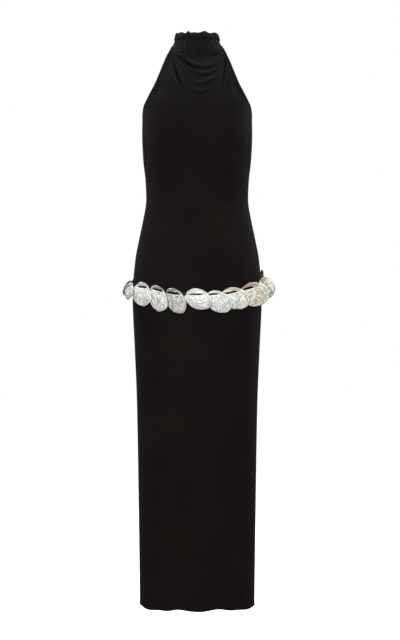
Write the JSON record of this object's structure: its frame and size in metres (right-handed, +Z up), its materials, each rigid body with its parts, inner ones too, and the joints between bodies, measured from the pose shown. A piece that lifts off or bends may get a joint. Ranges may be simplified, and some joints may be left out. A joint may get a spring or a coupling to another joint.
{
  "type": "halter maxi dress with shell belt",
  "caption": "Long sleeveless halter dress in jersey, filled out with no wearer, with a gathered high neck, open back and a low belt of natural shells.",
  "frame": {"origin": "centre of the neck ring, at the top of the neck, where the wearer holds the dress", "axes": "+Z up along the body, -Y to the front, +X to the right of someone who looks at the front"},
  "size_m": [0.3964, 0.2498, 1.4881],
  "materials": {
    "jersey": "soft black knit jersey, matte with a faint sheen at its edges",
    "strap": "black woven strap",
    "shell": "natural pearl lining, silvery white with green, cream and pink, glossy"
  },
  "bodies": {
    "root": {"front_panel": "jersey", "back_panel": "jersey", "nape_band": "jersey", "neck_casing": "jersey", "belt_strap": "strap", "shell_01": "shell", "shell_02": "shell", "shell_03": "shell", "shell_04": "shell", "shell_05": "shell", "shell_06": "shell", "shell_07": "shell", "shell_08": "shell", "shell_09": "shell", "shell_10": "shell", "shell_11": "shell", "shell_12": "shell", "shell_13": "shell", "shell_14": "shell", "shell_15": "shell", "shell_16": "shell", "shell_17": "shell", "shell_18": "shell"}
  },
  "joints": []
}
